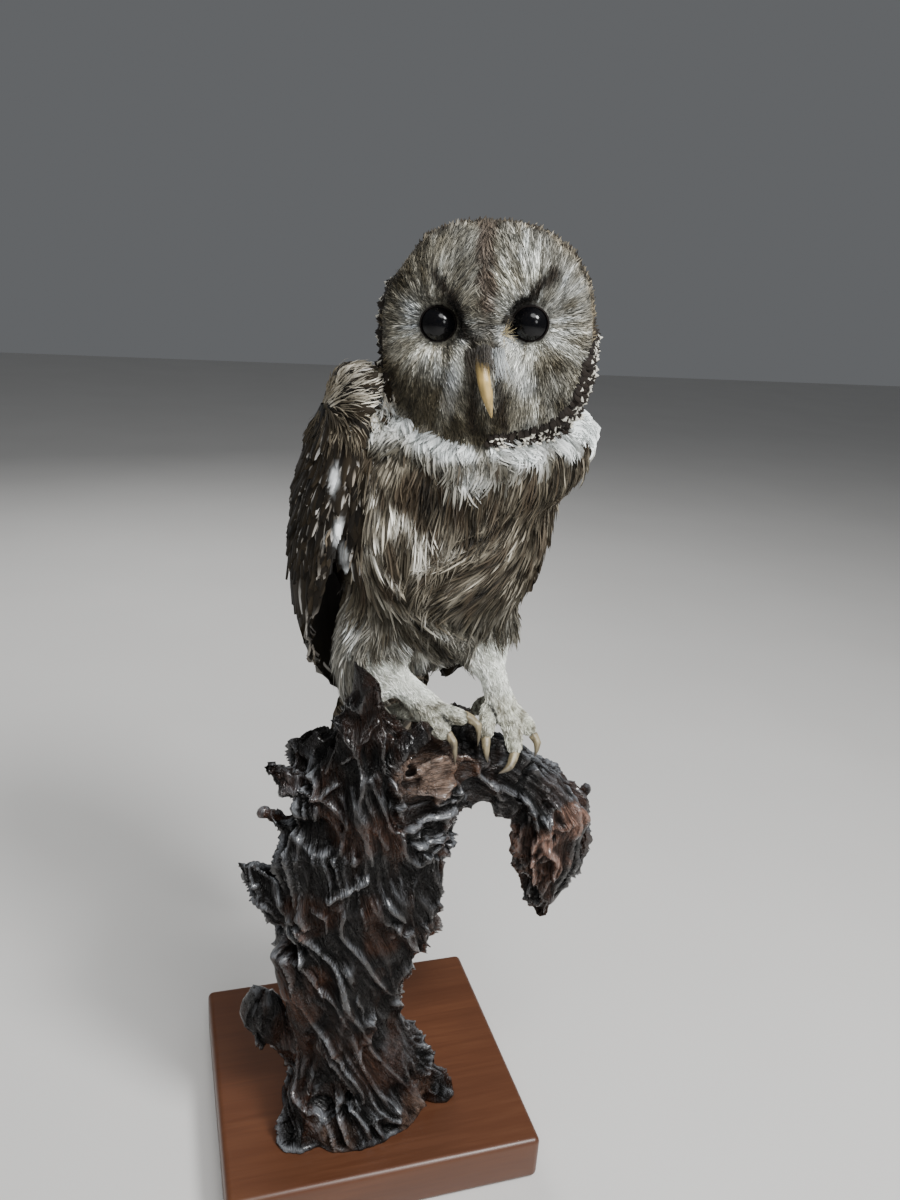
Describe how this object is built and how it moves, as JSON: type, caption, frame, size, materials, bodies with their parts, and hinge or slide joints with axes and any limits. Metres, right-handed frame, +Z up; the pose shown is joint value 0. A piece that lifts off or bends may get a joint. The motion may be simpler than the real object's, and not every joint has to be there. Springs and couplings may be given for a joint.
{
  "type": "mounted ural owl",
  "caption": "Mounted wood owl, life size, perched upright with folded wings and turned head on a piece of lacquered root wood that stands on a rectangular wooden plinth.",
  "frame": {"origin": "centre of the plinth's underside", "axes": "+Z up, -Y towards the plinth's front, +X towards the side that the wooden perch reaches out to, which is the owl's left"},
  "size_m": [0.2827, 0.2238, 0.6919],
  "materials": {
    "plinth_wood": "red-brown stained wood with a satin varnish",
    "lacquered_root": "black-brown lacquer over gnarled root wood, glossy",
    "face_feathers": "fine grey face feathers, matte",
    "white_down": "loose white ruff feathers, matte",
    "body_feathers": "buff and grey body feathers with lengthwise brown streaks, matte",
    "flight_feathers": "dark brown wing and tail feathers with pale spots and bars, matte",
    "leg_down": "short whitish felted leg feathers, matte",
    "bill_horn": "yellow-ivory horn, slightly glossy",
    "claw_horn": "grey-ivory horn with dark tips, slightly glossy",
    "eye_glass": "black-brown glass eye, polished"
  },
  "bodies": {
    "root": {"plinth": "plinth_wood", "root_wood": "lacquered_root", "head": "face_feathers", "eye_right": "eye_glass", "eye_left": "eye_glass", "bill_upper": "bill_horn", "bill_lower": "bill_horn", "neck": "white_down", "trunk": "body_feathers", "wing_right": "flight_feathers", "wing_left": "flight_feathers", "tail": "flight_feathers", "thigh_right": "body_feathers", "thigh_left": "body_feathers", "tarsus_right": "leg_down", "tarsus_left": "leg_down", "foot_right": "leg_down", "foot_left": "leg_down", "claw_right_inner": "claw_horn", "claw_right_middle": "claw_horn", "claw_right_outer": "claw_horn", "claw_right_hind": "claw_horn", "claw_left_inner": "claw_horn", "claw_left_middle": "claw_horn", "claw_left_outer": "claw_horn", "claw_left_hind": "claw_horn"}
  },
  "joints": []
}
